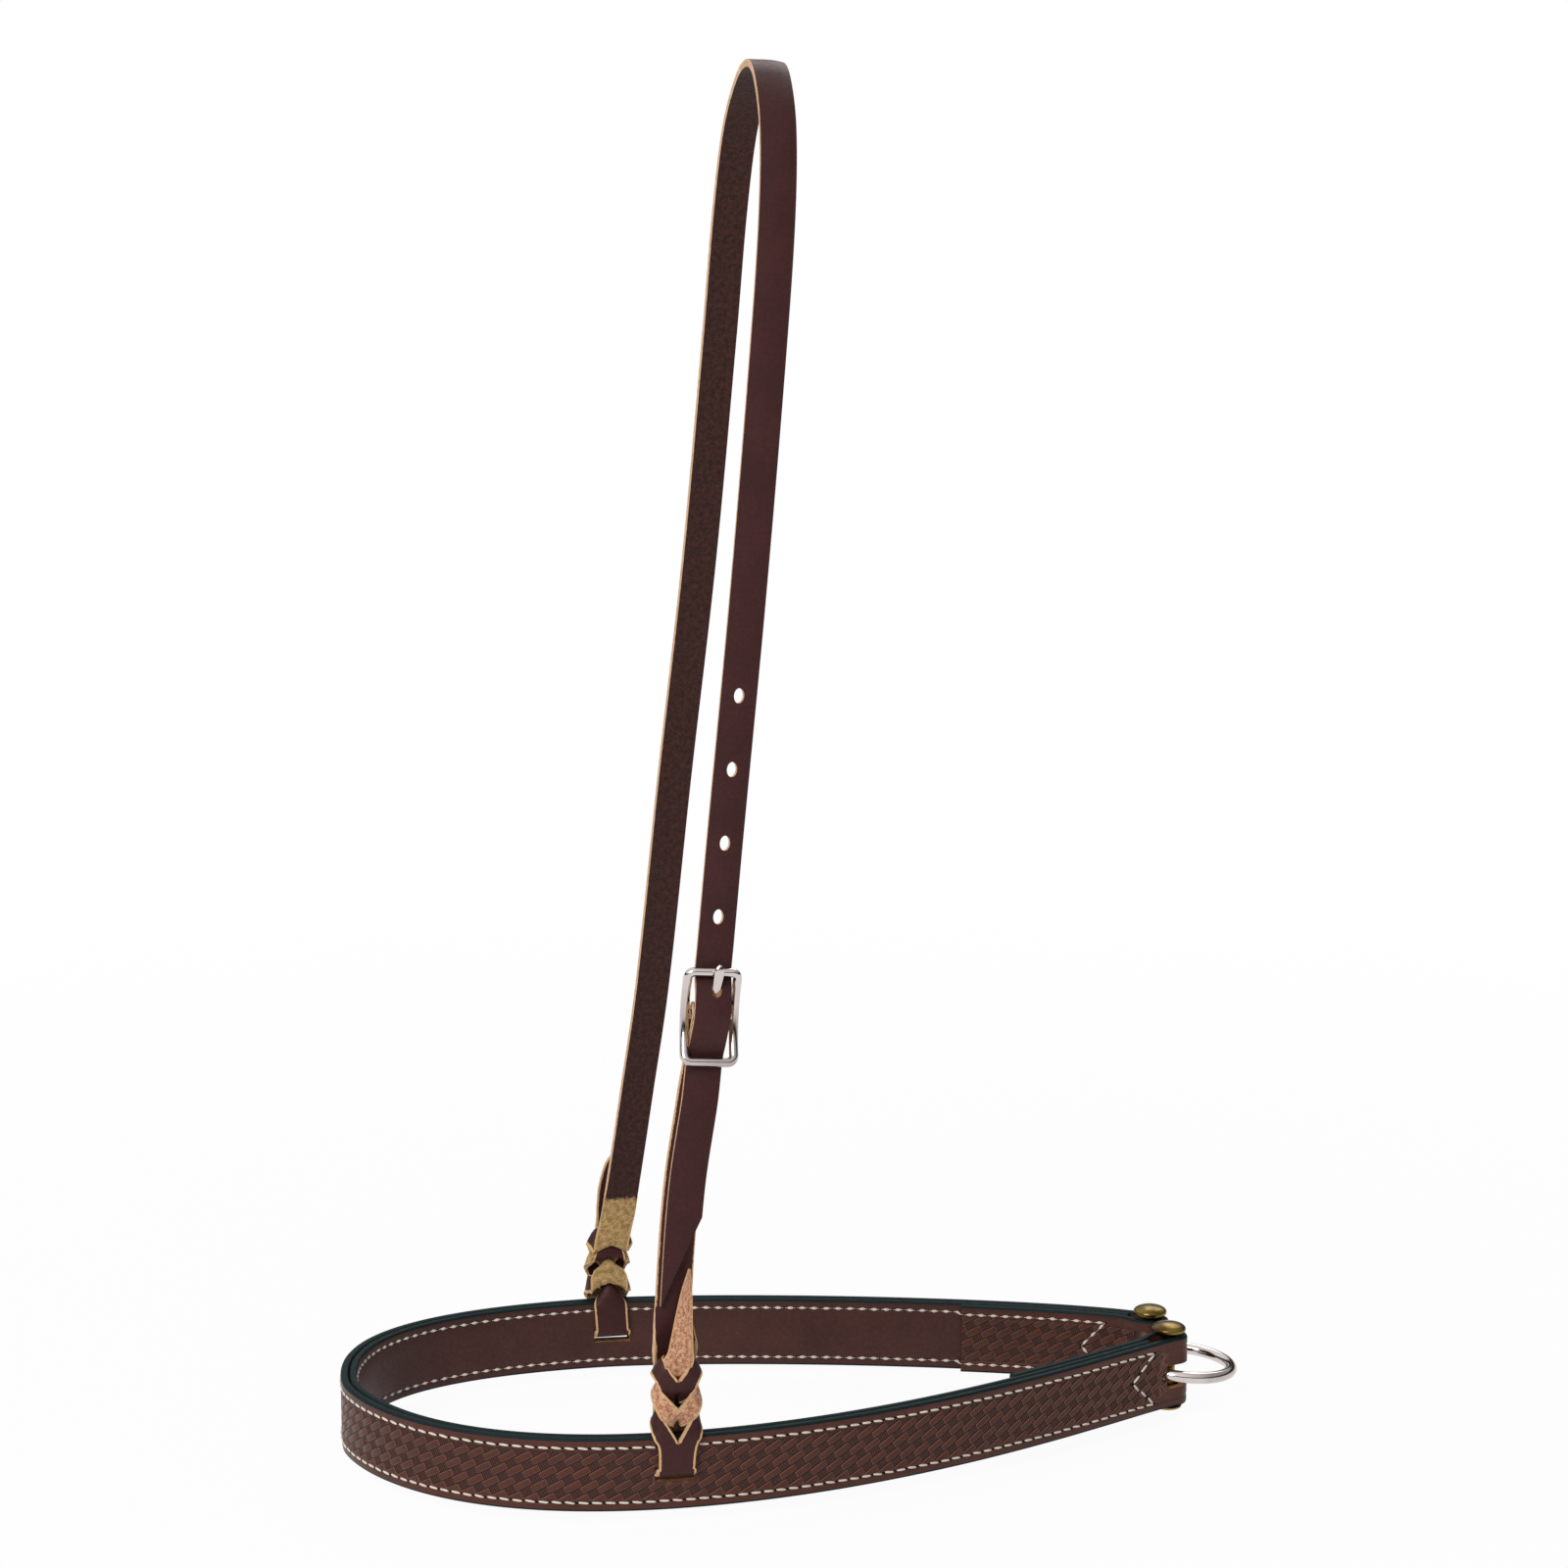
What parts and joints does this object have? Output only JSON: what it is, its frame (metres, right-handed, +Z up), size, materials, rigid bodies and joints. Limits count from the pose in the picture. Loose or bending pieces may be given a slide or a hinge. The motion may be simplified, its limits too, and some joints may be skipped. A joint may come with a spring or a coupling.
{
  "type": "noseband with hanger",
  "caption": "Tooled leather noseband with a chin ring, hung from a buckled head strap tied on with bleed knots, shown buckled and hanging.",
  "frame": {"origin": "middle of the underside of the head strap at its crown, where it rests over the horse's head", "axes": "+Z up, -Y the near side with the buckle, +X from the front of the nose towards the chin ring"},
  "size_m": [0.3218, 0.158, 0.4745],
  "materials": {
    "band_leather": "dark brown tooled, semi-gloss",
    "lining_leather": "dark brown smooth, satin",
    "strap_leather": "dark brown smooth, semi-gloss, natural cut edges",
    "antique_brass": "antiqued, satin",
    "satin_nickel": "satin nickel plate"
  },
  "bodies": {
    "hanger": {"crown_strap": "strap_leather", "cheek_strap": "strap_leather"},
    "noseband": {"noseband_outer_strap": "band_leather", "noseband_lining": "lining_leather", "near_post_barrel": "antique_brass", "near_post_screw": "antique_brass", "far_post_barrel": "antique_brass", "far_post_screw": "antique_brass"},
    "ring": {"chin_ring": "satin_nickel"},
    "frame": {"buckle_frame": "satin_nickel"},
    "tongue": {"buckle_tongue": "satin_nickel"}
  },
  "joints": [
    {"name": "noseband_rock", "type": "hinge", "parent": "hanger", "child": "noseband", "pos_m": [-0.0444, -0.0015, -0.4566], "axis": [0.028, 0.9996, 0], "range_deg": [-2, 2]},
    {"name": "ring_swing", "type": "hinge", "parent": "noseband", "child": "ring", "pos_m": [0.1388, 0.0003, -0.457], "axis": [0, 1, 0], "range_deg": [-12, 7]},
    {"name": "frame_rock", "type": "hinge", "parent": "hanger", "child": "frame", "pos_m": [-0.03129, -0.05938, -0.3069], "axis": [0.9922, -0.0038, -0.1244], "range_deg": [-1.5, 1.5]},
    {"name": "tongue_lift", "type": "hinge", "parent": "frame", "child": "tongue", "pos_m": [-0.03129, -0.05938, -0.3069], "axis": [0.9922, -0.0038, -0.1244], "range_deg": [0, 1.5]}
  ]
}
